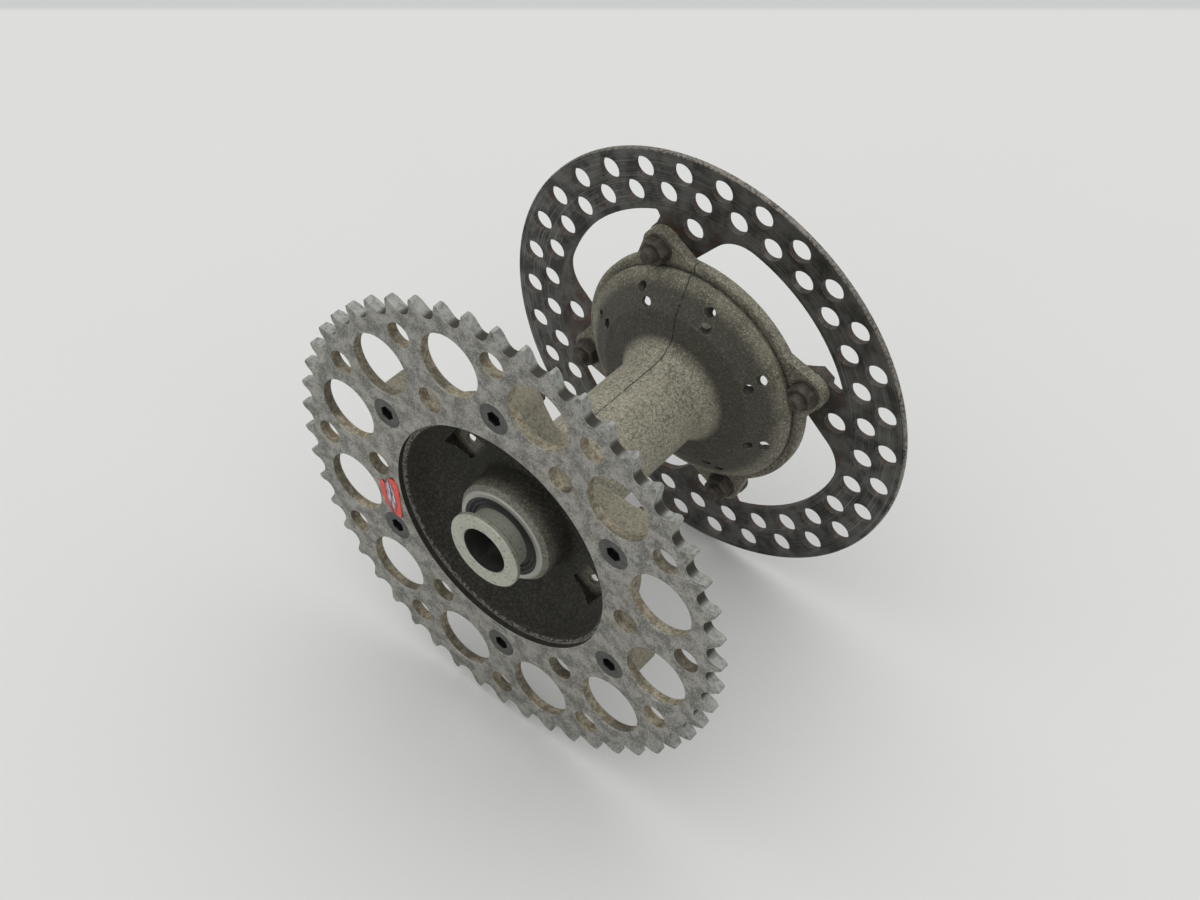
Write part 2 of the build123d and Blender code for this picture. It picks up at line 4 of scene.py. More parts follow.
import bmesh
import bpy
from mathutils import Matrix, Vector
from mathutils.bvhtree import BVHTree


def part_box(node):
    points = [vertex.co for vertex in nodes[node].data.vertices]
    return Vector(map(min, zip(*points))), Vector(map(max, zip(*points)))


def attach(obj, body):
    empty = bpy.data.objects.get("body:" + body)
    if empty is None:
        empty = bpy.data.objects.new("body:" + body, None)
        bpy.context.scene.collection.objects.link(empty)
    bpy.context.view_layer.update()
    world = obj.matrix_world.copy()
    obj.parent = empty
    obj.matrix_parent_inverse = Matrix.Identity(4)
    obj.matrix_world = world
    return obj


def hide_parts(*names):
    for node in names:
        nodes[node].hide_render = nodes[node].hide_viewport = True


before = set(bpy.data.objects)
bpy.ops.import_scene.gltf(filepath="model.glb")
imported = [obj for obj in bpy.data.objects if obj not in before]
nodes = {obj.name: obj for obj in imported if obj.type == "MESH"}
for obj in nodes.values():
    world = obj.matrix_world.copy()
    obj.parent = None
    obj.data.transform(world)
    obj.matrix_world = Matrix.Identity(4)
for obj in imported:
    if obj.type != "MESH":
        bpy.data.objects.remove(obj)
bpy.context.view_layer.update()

scene = bpy.context.scene
print("frame loaded,", len(nodes), "nodes")


def shade(red, green, blue):  # screen colour 0-255 to the linear colour a shader wants
    linear = []
    for channel in (red, green, blue):
        share = channel / 255
        linear.append(share / 12.92 if share <= 0.04045 else ((share + 0.055) / 1.055) ** 2.4)
    return (*linear, 1.0)


class Wire:  # one output socket; sums on wires add Math nodes
    def __init__(self, finish, socket):
        self.finish = finish
        self.socket = socket

    def math(self, operation, first, second=0.0):
        return self.finish.node("ShaderNodeMath", {"operation": operation}, {0: first, 1: second})

    def __add__(self, other):
        return self.math("ADD", self, other)

    def __radd__(self, other):
        return self.math("ADD", other, self)

    def __sub__(self, other):
        return self.math("SUBTRACT", self, other)

    def __rsub__(self, other):
        return self.math("SUBTRACT", other, self)

    def __mul__(self, other):
        return self.math("MULTIPLY", self, other)

    def __rmul__(self, other):
        return self.math("MULTIPLY", other, self)

    def __truediv__(self, other):
        return self.math("DIVIDE", self, other)

    def __pow__(self, other):
        return self.math("POWER", self, other)

    def __abs__(self):
        return self.math("ABSOLUTE", self)

    def other(self, name):  # another output of the same node
        return Wire(self.finish, self.socket.node.outputs[name])

    def between(self, low, high):  # 0 at low, 1 at high, smooth on the way; either may be larger
        return self.finish.node(
            "ShaderNodeMapRange",
            {"interpolation_type": "SMOOTHSTEP"},
            {"Value": self, "From Min": low, "From Max": high},
        )


class Finish:  # one material and the ways to add to it
    def __init__(self, name):
        self.material = bpy.data.materials.new(name)
        self.material.use_nodes = True
        self.tree = self.material.node_tree
        self.tree.nodes.clear()
        spot = self.node("ShaderNodeTexCoord", out="Object")
        self.place = spot
        split = self.node("ShaderNodeSeparateXYZ", inputs={0: spot})
        self.x, self.y, self.z = split, split.other("Y"), split.other("Z")
        self.radius = (self.x * self.x + self.z * self.z) ** 0.5
        facing = self.node("ShaderNodeSeparateXYZ", inputs={0: spot.other("Normal")})
        self.wall = (1.0 - abs(facing.other("Y"))).between(0.3, 0.75)  # 1 on walls along the axle

    def node(self, kind, settings=None, inputs=None, out=0):
        made = self.tree.nodes.new(kind)
        for key, value in (settings or {}).items():
            setattr(made, key, value)
        for key, value in (inputs or {}).items():
            if isinstance(value, Wire):
                self.tree.links.new(value.socket, made.inputs[key])
            else:
                made.inputs[key].default_value = value
        return Wire(self, made.outputs[out])

    def noise(self, grain, detail=3.0, roughness=0.55, distortion=0.0):  # grain in metres
        inputs = {
            "Vector": self.place,
            "Scale": 1.0 / grain,
            "Detail": detail,
            "Roughness": roughness,
            "Distortion": distortion,
        }
        return self.node("ShaderNodeTexNoise", inputs=inputs)

    def ringNoise(self, grain, run, detail=2.0):  # streaks that follow circles round the axle
        vector = self.node(
            "ShaderNodeCombineXYZ",
            inputs={0: self.radius / grain, 1: self.x / run, 2: self.z / run},
        )
        inputs = {"Vector": vector, "Scale": 1.0, "Detail": detail}
        return self.node("ShaderNodeTexNoise", inputs=inputs)

    def mix(self, factor, first, second):
        return self.node(
            "ShaderNodeMix",
            {"data_type": "RGBA", "blend_type": "MIX", "clamp_factor": True},
            {0: factor, 6: first, 7: second},
            out=2,
        )

    def cornerShade(self, reach):  # 0 in the open, 1 deep in a corner; used to paint shade into corners
        settings = {"samples": 6, "only_local": True}
        light = self.node("ShaderNodeAmbientOcclusion", settings, {"Distance": reach}, out="AO")
        return 1.0 - light

    def edgeWearAndHighlight(self, width):  # 1 on sharp edges; lightened there as edge wear and as painted edge highlight
        rounded = self.node("ShaderNodeBevel", {"samples": 4}, {"Radius": width})
        flat = self.node("ShaderNodeNewGeometry", out="Normal")
        inputs = {0: rounded, 1: flat}
        dot = self.node("ShaderNodeVectorMath", {"operation": "DOT_PRODUCT"}, inputs, out="Value")
        return (1.0 - dot).between(0.01, 0.2)

    def close(self, colour, roughness, metallic, relief, depth, edge=None):  # edge rounds corners
        inputs = {"Base Color": colour, "Roughness": roughness, "Metallic": metallic}
        bump = {"Height": relief, "Distance": depth, "Strength": 1.0}
        if edge:
            bump["Normal"] = self.node("ShaderNodeBevel", {"samples": 4}, {"Radius": edge})
        inputs["Normal"] = self.node("ShaderNodeBump", inputs=bump)
        shader = self.node("ShaderNodeBsdfPrincipled", inputs=inputs)
        output = self.tree.nodes.new("ShaderNodeOutputMaterial")
        self.tree.links.new(shader.socket, output.inputs["Surface"])
        return self.material


sprocketLook = {
    "face": shade(166, 164, 158),
    "faceDark": shade(108, 107, 102),
    "faceLight": shade(206, 207, 200),
    "speck": shade(74, 73, 68),
    "tan": shade(168, 161, 142),
    "tanDark": shade(128, 117, 97),
    # near black: soot, and painted shade in corners
    "sootAndShade": shade(34, 33, 30),
    # painted light on the tooth flanks that face the light, painted shadow in the seats at the
    # roots
    "flank": shade(168, 169, 164),
    "seat": shade(66, 63, 56),
    "blotch": 0.0075,
    "fleck": 0.0012,
    "seatRadius": 0.1214,
    "flankRadius": 0.1232,
    "teethRadius": 0.1195,
    "boreRadius": 0.0645,
    "zoneEdge": 0.001,
    "stainReach": (0.108, 0.064),
    "scuffReach": (0.117, 0.121),
}


def sprocketAlloy(look):
    f = Finish("weathered sprocket alloy")
    blotch = f.noise(look["blotch"], 4.0, 0.65)
    fleck = f.noise(look["fleck"], 3.0, 0.75)
    fine = f.noise(look["fleck"] * 0.45, 2.0, 0.7)
    colour = f.mix(blotch.between(0.38, 0.62) * 0.8, look["face"], look["faceDark"])
    colour = f.mix((0.6 * fleck + 0.4 * fine).between(0.51, 0.6) * 0.5, colour, look["faceLight"])
    colour = f.mix((0.5 * fleck + 0.5 * fine).between(0.47, 0.38) * 0.62, colour, look["speck"])
    stain = f.noise(0.011, 3.0, 0.6, 0.4).between(0.42, 0.7) * f.radius.between(*look["stainReach"])
    colour = f.mix(stain * 0.4 * fleck.between(0.35, 0.6), colour, look["tan"])
    scuff = f.ringNoise(0.0012, 0.02).between(0.6, 0.72) * f.radius.between(*look["scuffReach"])
    colour = f.mix(scuff * 0.4, colour, look["faceLight"])
    teeth = f.radius.between(look["teethRadius"], look["teethRadius"] + look["zoneEdge"])
    dirt = f.noise(0.0026, 4.0, 0.7)
    holeWall = f.mix(dirt.between(0.38, 0.6), look["tan"], look["tanDark"])
    holeWall = f.mix(fine.between(0.46, 0.36) * 0.5, holeWall, look["sootAndShade"])
    holeWall = f.mix(f.noise(0.02, 3.0).between(0.44, 0.62) * 0.55, holeWall, look["sootAndShade"])
    # the bore wall is painted near black
    bore = f.radius.between(look["boreRadius"] + look["zoneEdge"], look["boreRadius"])
    holeWall = f.mix(bore * 0.92, holeWall, look["sootAndShade"])
    colour = f.mix(f.wall * (1.0 - teeth), colour, holeWall)
    # painted light and shadow in the tooth gaps: upper flanks painted light, seats near the root
    # painted dark as shadow
    flank = f.radius.between(look["seatRadius"], look["flankRadius"])
    flankWall = f.mix(dirt.between(0.4, 0.62) * 0.6, look["flank"], look["faceDark"])
    gapWall = f.mix(flank, look["seat"], flankWall)
    colour = f.mix(f.wall * teeth, colour, gapWall)
    # painted shade: corners and recesses darkened towards near black
    corner = f.cornerShade(0.004)
    colour = f.mix(corner.between(0.25, 0.8) * 0.5, colour, look["sootAndShade"])
    # edge wear, partly painted edge highlight: sharp edges lightened
    worn = f.edgeWearAndHighlight(0.0005) * dirt.between(0.28, 0.55)
    colour = f.mix(worn * 0.75, colour, look["faceLight"])
    roughness = 0.44 + 0.2 * blotch + 0.16 * f.wall - 0.14 * worn
    metallic = 0.85 - 0.6 * f.wall * (1.0 - teeth) - 0.3 * f.wall * teeth
    relief = fleck * 0.6 + f.noise(0.0045, 2.0) * 0.6 + fine * 0.3
    return f.close(colour, roughness, metallic, relief, 0.00016, 0.0004)


hubLook = {
    "cast": shade(132, 128, 113),
    # painted light: lighter tone that stands in for the light on the barrel
    "barrel": shade(166, 162, 145),
    # painted shade on the dish between barrel and drum
    "dishShade": shade(48, 47, 42),
    "drum": shade(146, 140, 122),
    "castDark": shade(80, 77, 66),
    "sparkle": shade(208, 202, 184),
    # near black: soot, and painted shade in corners and in the bowl
    "sootAndShade": shade(30, 30, 28),
    "machined": shade(186, 186, 178),
    "boss": shade(150, 149, 140),
    "grit": 0.0006,
    "patches": 0.014,
    "seamAngle": 91.3,
    "insideRim": (0.0632, 0.0618),
    "bowlDepth": (0.027, 0.024),
    "outsideBoss": (0.0275, 0.0292),
    "bossSide": (0.0294, 0.0282),
    "bossDepth": (0.026, 0.022),
    "bossFade": (0.006, 0.014),
    "shoulder": (0.0075, 0.0045),
    "drumDepth": (0.0275, 0.0255),
    "drumSide": (0.0634, 0.065),
    "barrelSide": (0.0325, 0.0285),
    "barrelStart": (0.034, 0.042),
    "barrelEnd": (0.133, 0.127),
    "dishInner": (0.0285, 0.0325),
    "dishOuter": (0.062, 0.054),
    "dishStart": (0.124, 0.129),
    "lipSide": (0.0608, 0.0613),
    "lipDepth": (0.0042, 0.0034),
    "seatSide": (0.0253, 0.0248),
    "seatDepth": (0.0040, 0.0030),
    "seamTop": (0.02, 0.022),
    "seamStart": (0.03, 0.033),
    "seamWidth": (0.00038, 0.00018),
    "seamWander": 0.0006,
}


def hubCast(look):
    f = Finish("sand cast hub alloy")
    grit = f.noise(look["grit"], 3.0, 0.75)
    coarse = f.noise(look["grit"] * 2.6, 3.0, 0.6)
    patches = f.noise(look["patches"], 4.0, 0.6)
    colour = f.mix(patches.between(0.36, 0.66) * 0.6, look["cast"], look["castDark"])
    # painted light: the barrel is lightened to stand in for the overhead light on it
    barrel = f.radius.between(*look["barrelSide"]) * f.y.between(*look["barrelStart"])
    barrel = barrel * f.y.between(*look["barrelEnd"])
    colour = f.mix(barrel * coarse.between(0.3, 0.6) * 0.75, colour, look["barrel"])
    # painted shade: dark band on the dish between barrel and drum
    dishShade = f.radius.between(*look["dishInner"]) * f.radius.between(*look["dishOuter"])
    dishShade = dishShade * f.y.between(*look["dishStart"])
    colour = f.mix(dishShade * (0.95 - 0.4 * patches), colour, look["dishShade"])
    colour = f.mix(grit.between(0.48, 0.34) * 0.7, colour, look["castDark"])
    sparkle = (grit * 0.7 + coarse * 0.3).between(0.5, 0.6) * (0.6 - 0.45 * dishShade)
    colour = f.mix(sparkle, colour, look["sparkle"])
    # the inside of the bowl is painted near black: dark grime, partly painted shade
    bowl = f.radius.between(*look["insideRim"]) * f.y.between(*look["bowlDepth"])
    bowl = bowl * f.radius.between(*look["outsideBoss"])
    sootAndShade = f.mix(coarse.between(0.4, 0.7) * 0.5, look["sootAndShade"], look["castDark"])
    colour = f.mix(bowl * 0.9, colour, sootAndShade)
    # painted shade: the boss side darkens further into the bowl
    boss = f.radius.between(*look["bossSide"]) * f.y.between(*look["bossDepth"])
    colour = f.mix(boss * (0.25 + 0.6 * f.y.between(*look["bossFade"])), colour, sootAndShade)
    shoulder = boss * f.y.between(*look["shoulder"])
    colour = f.mix(shoulder * 0.6 * coarse.between(0.3, 0.6), colour, look["boss"])
    drum = f.y.between(*look["drumDepth"]) * f.radius.between(*look["drumSide"])
    colour = f.mix(drum * coarse.between(0.3, 0.65) * 0.75, colour, look["drum"])
    # painted shade: corners and recesses darkened towards near black
    corner = f.cornerShade(0.006)
    colour = f.mix(corner.between(0.2, 0.75) * 0.7, colour, look["sootAndShade"])
    lip = f.radius.between(*look["lipSide"]) * f.y.between(*look["lipDepth"])
    seat = f.radius.between(*look["seatSide"]) * f.y.between(*look["seatDepth"])
    # edge wear, partly painted edge highlight: sharp edges lightened
    bright = f.edgeWearAndHighlight(0.0006) * coarse.between(0.4, 0.6) * 0.45
    colour = f.mix(bright, colour, look["sparkle"])
    turned = lip * coarse.between(0.4, 0.6) * 0.4 + seat * 0.9
    colour = f.mix(turned, colour, look["machined"])
    angle = math.radians(look["seamAngle"])
    wander = look["seamWander"] * (f.noise(0.009) - 0.5)
    offSeam = abs(f.x * math.sin(angle) - f.z * math.cos(angle) + wander)
    along = f.z.between(*look["seamTop"]) * f.y.between(*look["seamStart"])
    along = along * f.noise(0.007).between(0.4, 0.5)
    seam = offSeam.between(*look["seamWidth"]) * along
    colour = f.mix(seam * 0.8, colour, look["sootAndShade"])
    roughness = 0.62 + 0.2 * patches - 0.25 * turned
    metallic = 0.35 + 0.5 * turned
    relief = grit * 0.6 + coarse * 0.8 - seam * 1.2
    return f.close(colour, roughness, metallic, relief, 0.00045, 0.0005)


discLook = {
    "steel": shade(98, 97, 94),
    "dark": shade(56, 55, 53),
    "rust": shade(96, 74, 62),
    "scratchAndHighlight": shade(168, 166, 160),
    "rim": shade(150, 142, 132),
    "bandInner": 0.0906,
    "rimRadius": 0.1224,
    "bandEdge": 0.001,
    "rimEdge": 0.0005,
}


def discSteel(look):
    f = Finish("worn disc steel")
    rings = f.ringNoise(0.0006, 0.09)
    fineRings = f.ringNoise(0.00025, 0.03)
    blotch = f.noise(0.012, 4.0, 0.6)
    colour = f.mix(blotch.between(0.35, 0.65), look["steel"], look["dark"])
    inner, edge = look["bandInner"], look["bandEdge"]
    band = f.radius.between(inner - edge, inner + edge)
    scratches = rings.between(0.52, 0.72) * 0.6 + fineRings.between(0.56, 0.76) * 0.4
    colour = f.mix(scratches * band * 0.6, colour, look["scratchAndHighlight"])
    stains = f.noise(0.006, 4.0, 0.65).between(0.48, 0.66)
    colour = f.mix((1.0 - band) * stains * 0.7, colour, look["rust"])
    speck = f.noise(0.0016, 3.0, 0.7)
    rim = f.radius.between(look["rimRadius"], look["rimRadius"] + look["rimEdge"])
    colour = f.mix(rim * speck.between(0.42, 0.58) * 0.8, colour, look["rim"])
    holeWall = f.wall * (1.0 - rim)
    wallColour = f.mix(speck.between(0.4, 0.62), look["dark"], look["rust"])
    colour = f.mix(holeWall * 0.6, colour, wallColour)
    # edge wear, partly painted edge highlight: sharp edges lightened
    worn = f.edgeWearAndHighlight(0.0005)
    colour = f.mix(worn * speck.between(0.4, 0.6) * 0.6, colour, look["scratchAndHighlight"])
    roughness = 0.4 + 0.25 * blotch + 0.15 * holeWall - 0.1 * worn
    metallic = 0.75 - 0.3 * f.wall
    relief = rings * band + fineRings * band * 0.5 + speck * 0.5
    return f.close(colour, roughness, metallic, relief, 0.00006, 0.0004)


oxideLook = {
    "oxide": shade(96, 97, 94),
    "dark": shade(40, 41, 41),
    "rubAndHighlight": shade(140, 141, 138),
    "socket": shade(14, 15, 16),
    "sunk": (0.0003, 0.0014),
}


def blackOxide(look):
    f = Finish("black oxide bolt")
    fleck = f.noise(0.0009, 3.0, 0.7)
    patch = f.noise(0.004, 3.0)
    colour = f.mix(patch.between(0.35, 0.7) * 0.4, look["oxide"], look["dark"])
    sunk = f.y.between(*look["sunk"])
    colour = f.mix(sunk * 0.9, colour, look["socket"])
    # edge wear, partly painted edge highlight: sharp edges lightened
    worn = f.edgeWearAndHighlight(0.0004) * (1.0 - sunk)
    colour = f.mix(worn * 0.6 + fleck.between(0.58, 0.7) * 0.2, colour, look["rubAndHighlight"])
    roughness = 0.42 + 0.2 * fleck
    return f.close(colour, roughness, 0.6, fleck, 0.00005, 0.0003)


zincLook = {
    "zinc": shade(88, 83, 75),
    "oil": shade(48, 44, 40),
    "rust": shade(108, 84, 66),
    "rubAndHighlight": shade(150, 144, 132),
}


def zincSteel(look):
    f = Finish("grimy plated steel")
    dirt = f.noise(0.0035, 4.0, 0.65)
    fleck = f.noise(0.0010, 3.0, 0.7)
    colour = f.mix(dirt.between(0.38, 0.66) * 0.7, look["zinc"], look["oil"])
    colour = f.mix(fleck.between(0.52, 0.66) * 0.3, colour, look["rust"])
    # painted shade: corners and recesses darkened with the oil colour
    corner = f.cornerShade(0.003)
    colour = f.mix(corner.between(0.2, 0.7) * 0.6, colour, look["oil"])
    # edge wear, partly painted edge highlight: sharp edges lightened
    worn = f.edgeWearAndHighlight(0.0005) * fleck.between(0.35, 0.6)
    colour = f.mix(worn * 0.5, colour, look["rubAndHighlight"])
    roughness = 0.5 + 0.3 * dirt
    return f.close(colour, roughness, 0.55 - 0.3 * dirt, fleck, 0.00012, 0.0004)


collarLook = {
    "alloy": shade(190, 190, 176),
    "speck": shade(96, 94, 84),
    "sleeve": shade(168, 169, 160),
    # near black painted on the bore wall
    "boreDark": shade(10, 10, 9),
    "boreSide": (0.0133, 0.0128),
}


def collarAlloy(look):
    f = Finish("turned collar alloy")
    speck = f.noise(0.0013, 3.0, 0.7)
    cloud = f.noise(0.007, 3.0)
    turning = f.ringNoise(0.00035, 0.05)
    colour = f.mix(cloud.between(0.35, 0.7) * 0.4, look["alloy"], look["sleeve"])
    colour = f.mix(speck.between(0.57, 0.66) * 0.8, colour, look["speck"])
    # painted shade: corners and recesses darkened with the speck colour
    corner = f.cornerShade(0.004)
    colour = f.mix(corner.between(0.25, 0.8) * 0.5, colour, look["speck"])
    # the bore wall is painted near black
    bore = f.wall * f.radius.between(*look["boreSide"])
    film = f.mix(cloud.between(0.5, 0.75) * 0.4, look["boreDark"], look["speck"])
    colour = f.mix(bore * 0.97, colour, film)
    roughness = 0.36 + 0.2 * cloud + 0.15 * speck + 0.2 * bore
    metallic = 0.8 - 0.2 * speck - 0.7 * bore
    return f.close(colour, roughness, metallic, turning * 0.6 + speck * 0.5, 0.00006, 0.0004)


rubberLook = {"rubber": shade(24, 26, 28), "dust": shade(58, 57, 52)}


def sealRubber(look):
    f = Finish("dusty seal rubber")
    dust = f.noise(0.0025, 4.0, 0.65)
    fine = f.noise(0.0008, 2.0)
    colour = f.mix(dust.between(0.5, 0.75) * 0.35, look["rubber"], look["dust"])
    roughness = 0.38 + 0.25 * dust
    relief = fine * 0.5 + f.ringNoise(0.0005, 0.05) * 0.5
    return f.close(colour, roughness, 0.0, relief, 0.00005, 0.0004)


steelLook = {"steel": shade(178, 180, 182), "oil": shade(120, 112, 96)}


def bearingSteel(look):
    f = Finish("ground bearing steel")
    film = f.noise(0.005, 3.0)
    grind = f.ringNoise(0.0003, 0.04)
    colour = f.mix(film.between(0.45, 0.75) * 0.4, look["steel"], look["oil"])
    roughness = 0.16 + 0.2 * film + 0.08 * grind
    return f.close(colour, roughness, 0.95 - 0.2 * film, grind, 0.00002, 0.0002)


cageLook = {"steel": shade(150, 146, 138), "dark": shade(84, 80, 72)}


def cageSteel(look):
    f = Finish("pressed cage steel")
    cloud = f.noise(0.003, 4.0, 0.6)
    fine = f.noise(0.0009, 2.0)
    colour = f.mix(cloud.between(0.4, 0.65) * 0.7, look["steel"], look["dark"])
    return f.close(colour, 0.35 + 0.25 * cloud, 0.85 - 0.2 * cloud, fine, 0.00004, 0.0003)


tubeLook = {"alloy": shade(176, 176, 170), "stain": shade(126, 120, 106)}


def tubeAlloy(look):
    f = Finish("drawn tube alloy")
    stain = f.noise(0.008, 4.0, 0.6)
    drawn = f.node("ShaderNodeCombineXYZ", inputs={0: f.x * 2500.0, 1: f.y * 40.0, 2: f.z * 2500.0})
    draw = f.node("ShaderNodeTexNoise", inputs={"Vector": drawn, "Scale": 1.0})
    colour = f.mix(stain.between(0.45, 0.7) * 0.6, look["alloy"], look["stain"])
    return f.close(colour, 0.3 + 0.2 * draw + 0.1 * stain, 0.9 - 0.2 * stain, draw, 0.00003, 0.0003)


vinylLook = {
    "red": shade(226, 74, 62),
    "faded": shade(236, 118, 104),
    "bare": shade(206, 196, 208),
    "dirt": shade(62, 48, 60),
    "centre": (-0.0706, -0.0160),
    "lean": 96.0,
    "rubbedLength": 0.0092,
    "rubbedWidth": 0.0026,
}


def patchVinyl(look):
    f = Finish("worn red vinyl")
    lean = math.radians(look["lean"])
    midX, midZ = look["centre"]
    along = (f.x - midX) * math.cos(lean) + (f.z - midZ) * math.sin(lean)
    across = (f.z - midZ) * math.cos(lean) - (f.x - midX) * math.sin(lean)
    drag = f.node("ShaderNodeCombineXYZ", inputs={0: along * 120.0, 1: across * 620.0, 2: 0.0})
    inputs = {"Vector": drag, "Scale": 1.0, "Detail": 4.0, "Roughness": 0.65}
    streaks = f.node("ShaderNodeTexNoise", inputs=inputs)
    core = ((along / look["rubbedLength"]) ** 2.0 + (across / look["rubbedWidth"]) ** 2.0) ** 0.5
    rubbed = (core + (streaks - 0.5) * 1.6).between(1.1, 0.8)
    edge = (core + (streaks - 0.5) * 1.6).between(1.45, 1.1) - rubbed
    colour = f.mix(f.noise(0.003, 3.0).between(0.4, 0.7) * 0.5, look["red"], look["faded"])
    colour = f.mix(edge * 0.75, colour, look["dirt"])
    colour = f.mix(rubbed, colour, f.mix(streaks.between(0.42, 0.6), look["bare"], look["dirt"]))
    # painted shade: creases and the line where the patch meets the face are darkened
    rim = f.cornerShade(0.001)
    colour = f.mix(rim * 0.3, colour, look["dirt"])
    return f.close(colour, 0.35 + 0.3 * streaks, 0.0, streaks, 0.00012, 0.0002)


finishes = {
    "hub_cast": hubCast(hubLook),
    "sprocket_alloy": sprocketAlloy(sprocketLook),
    "black_oxide": blackOxide(oxideLook),
    "zinc_steel": zincSteel(zincLook),
    "disc_steel": discSteel(discLook),
    "bearing_steel": bearingSteel(steelLook),
    "cage_steel": cageSteel(cageLook),
    "seal_rubber": sealRubber(rubberLook),
    "tube_alloy": tubeAlloy(tubeLook),
    "collar_alloy": collarAlloy(collarLook),
    "patch_vinyl": patchVinyl(vinylLook),
}
nodeFinish = {
    "hub_shell": "hub_cast",
    "sprocket": "sprocket_alloy",
    "sprocket_bolts": "black_oxide",
    "sprocket_washers": "zinc_steel",
    "sprocket_nuts": "zinc_steel",
    "brake_disc": "disc_steel",
    "disc_bolts": "zinc_steel",
    "disc_washers": "zinc_steel",
    "disc_nuts": "zinc_steel",
    "bearing_circlip": "cage_steel",
    "distance_tube": "tube_alloy",
    "left_dust_seal": "seal_rubber",
    "right_dust_seal": "seal_rubber",
    "left_collar": "collar_alloy",
    "right_collar": "collar_alloy",
    "sprocket_patch": "patch_vinyl",
}
for side in ("left", "right"):
    nodeFinish[f"{side}_bearing_outer_ring"] = "bearing_steel"
    nodeFinish[f"{side}_bearing_inner_ring"] = "bearing_steel"
    nodeFinish[f"{side}_bearing_balls"] = "bearing_steel"
    nodeFinish[f"{side}_bearing_cage"] = "cage_steel"
    nodeFinish[f"{side}_bearing_shields"] = "seal_rubber"
for name, finishName in nodeFinish.items():
    mesh = nodes[name].data
    mesh.materials.clear()
    mesh.materials.append(finishes[finishName])
print("finishes made:", len(finishes))


boltThreads = {
    "sprocketCircle": 0.0784,
    "sprocketCount": 6,
    "sprocketFirst": 28.5,
    "discCircle": 0.0723,
    "discCount": 4,
    "discFirst": 19.0,
    "radius": 0.00396,
    "pitch": 0.00125,
    "ridge": 0.00042,
    "sides": 20,
    "bareTip": 0.0011,
    "intoNut": 0.0002,
}


def threadTree():
    tree = bpy.data.node_groups.new("bolt threads", "GeometryNodeTree")
    kinds = [
        ("Circle", "NodeSocketFloat"), ("Count", "NodeSocketInt"), ("First", "NodeSocketFloat"),
        ("Start", "NodeSocketFloat"), ("Length", "NodeSocketFloat"), ("Radius", "NodeSocketFloat"),
        ("Pitch", "NodeSocketFloat"), ("Ridge", "NodeSocketFloat"), ("Sides", "NodeSocketInt"),
        ("Finish", "NodeSocketMaterial"),
    ]
    for name, kind in kinds:
        tree.interface.new_socket(name=name, in_out="INPUT", socket_type=kind)
    tree.interface.new_socket(name="Geometry", in_out="OUTPUT", socket_type="NodeSocketGeometry")
    start = tree.nodes.new("NodeGroupInput")
    given = start.outputs

    def add(kind, settings=None, inputs=None):
        made = tree.nodes.new(kind)
        for key, value in (settings or {}).items():
            setattr(made, key, value)
        for key, value in (inputs or {}).items():
            if isinstance(value, bpy.types.NodeSocket):
                tree.links.new(value, made.inputs[key])
            else:
                made.inputs[key].default_value = value
        return made

    turns = add("ShaderNodeMath", {"operation": "DIVIDE"}, {0: given["Length"], 1: given["Pitch"]})
    helix = add(
        "GeometryNodeCurveSpiral",
        inputs={
            "Resolution": given["Sides"], "Rotations": turns.outputs[0],
            "Start Radius": given["Radius"], "End Radius": given["Radius"],
            "Height": given["Length"],
        },
    )
    section = add(
        "GeometryNodeCurvePrimitiveCircle", inputs={"Resolution": 4, "Radius": given["Ridge"]}
    )
    ridge = add(
        "GeometryNodeCurveToMesh",
        inputs={0: helix.outputs[0], 1: section.outputs[0], "Fill Caps": True},
    )
    alongAxle = add(
        "GeometryNodeTransform", inputs={0: ridge.outputs[0], "Rotation": (-math.pi / 2, 0, 0)}
    )
    ring = add(
        "GeometryNodeMeshCircle", inputs={"Vertices": given["Count"], "Radius": given["Circle"]}
    )
    phase = add("ShaderNodeCombineXYZ", inputs={2: given["First"]})
    turned = add(
        "GeometryNodeTransform", inputs={0: ring.outputs[0], "Rotation": phase.outputs[0]}
    )
    upright = add(
        "GeometryNodeTransform", inputs={0: turned.outputs[0], "Rotation": (math.pi / 2, 0, 0)}
    )
    station = add("ShaderNodeCombineXYZ", inputs={1: given["Start"]})
    placed = add(
        "GeometryNodeTransform", inputs={0: upright.outputs[0], "Translation": station.outputs[0]}
    )
    onBolts = add(
        "GeometryNodeInstanceOnPoints",
        inputs={"Points": placed.outputs[0], "Instance": alongAxle.outputs[0]},
    )
    real = add("GeometryNodeRealizeInstances", inputs={0: onBolts.outputs[0]})
    finished = add(
        "GeometryNodeSetMaterial", inputs={0: real.outputs[0], "Material": given["Finish"]}
    )
    end = tree.nodes.new("NodeGroupOutput")
    tree.links.new(finished.outputs[0], end.inputs[0])
    return tree


def growPiece(name, tree, values):  # runs a tree and keeps its result as a plain mesh
    seed = bpy.data.objects.new(name + "Seed", bpy.data.meshes.new(name + "Seed"))
    scene.collection.objects.link(seed)
    modifier = seed.modifiers.new("grow", "NODES")
    modifier.node_group = tree
    for item in tree.interface.items_tree:
        if item.in_out == "INPUT":
            modifier[item.identifier] = values[item.name]
    graph = bpy.context.evaluated_depsgraph_get()
    mesh = bpy.data.meshes.new_from_object(seed.evaluated_get(graph))
    bpy.data.objects.remove(seed)
    mesh.name = name
    piece = bpy.data.objects.new(name, mesh)
    scene.collection.objects.link(piece)
    return piece


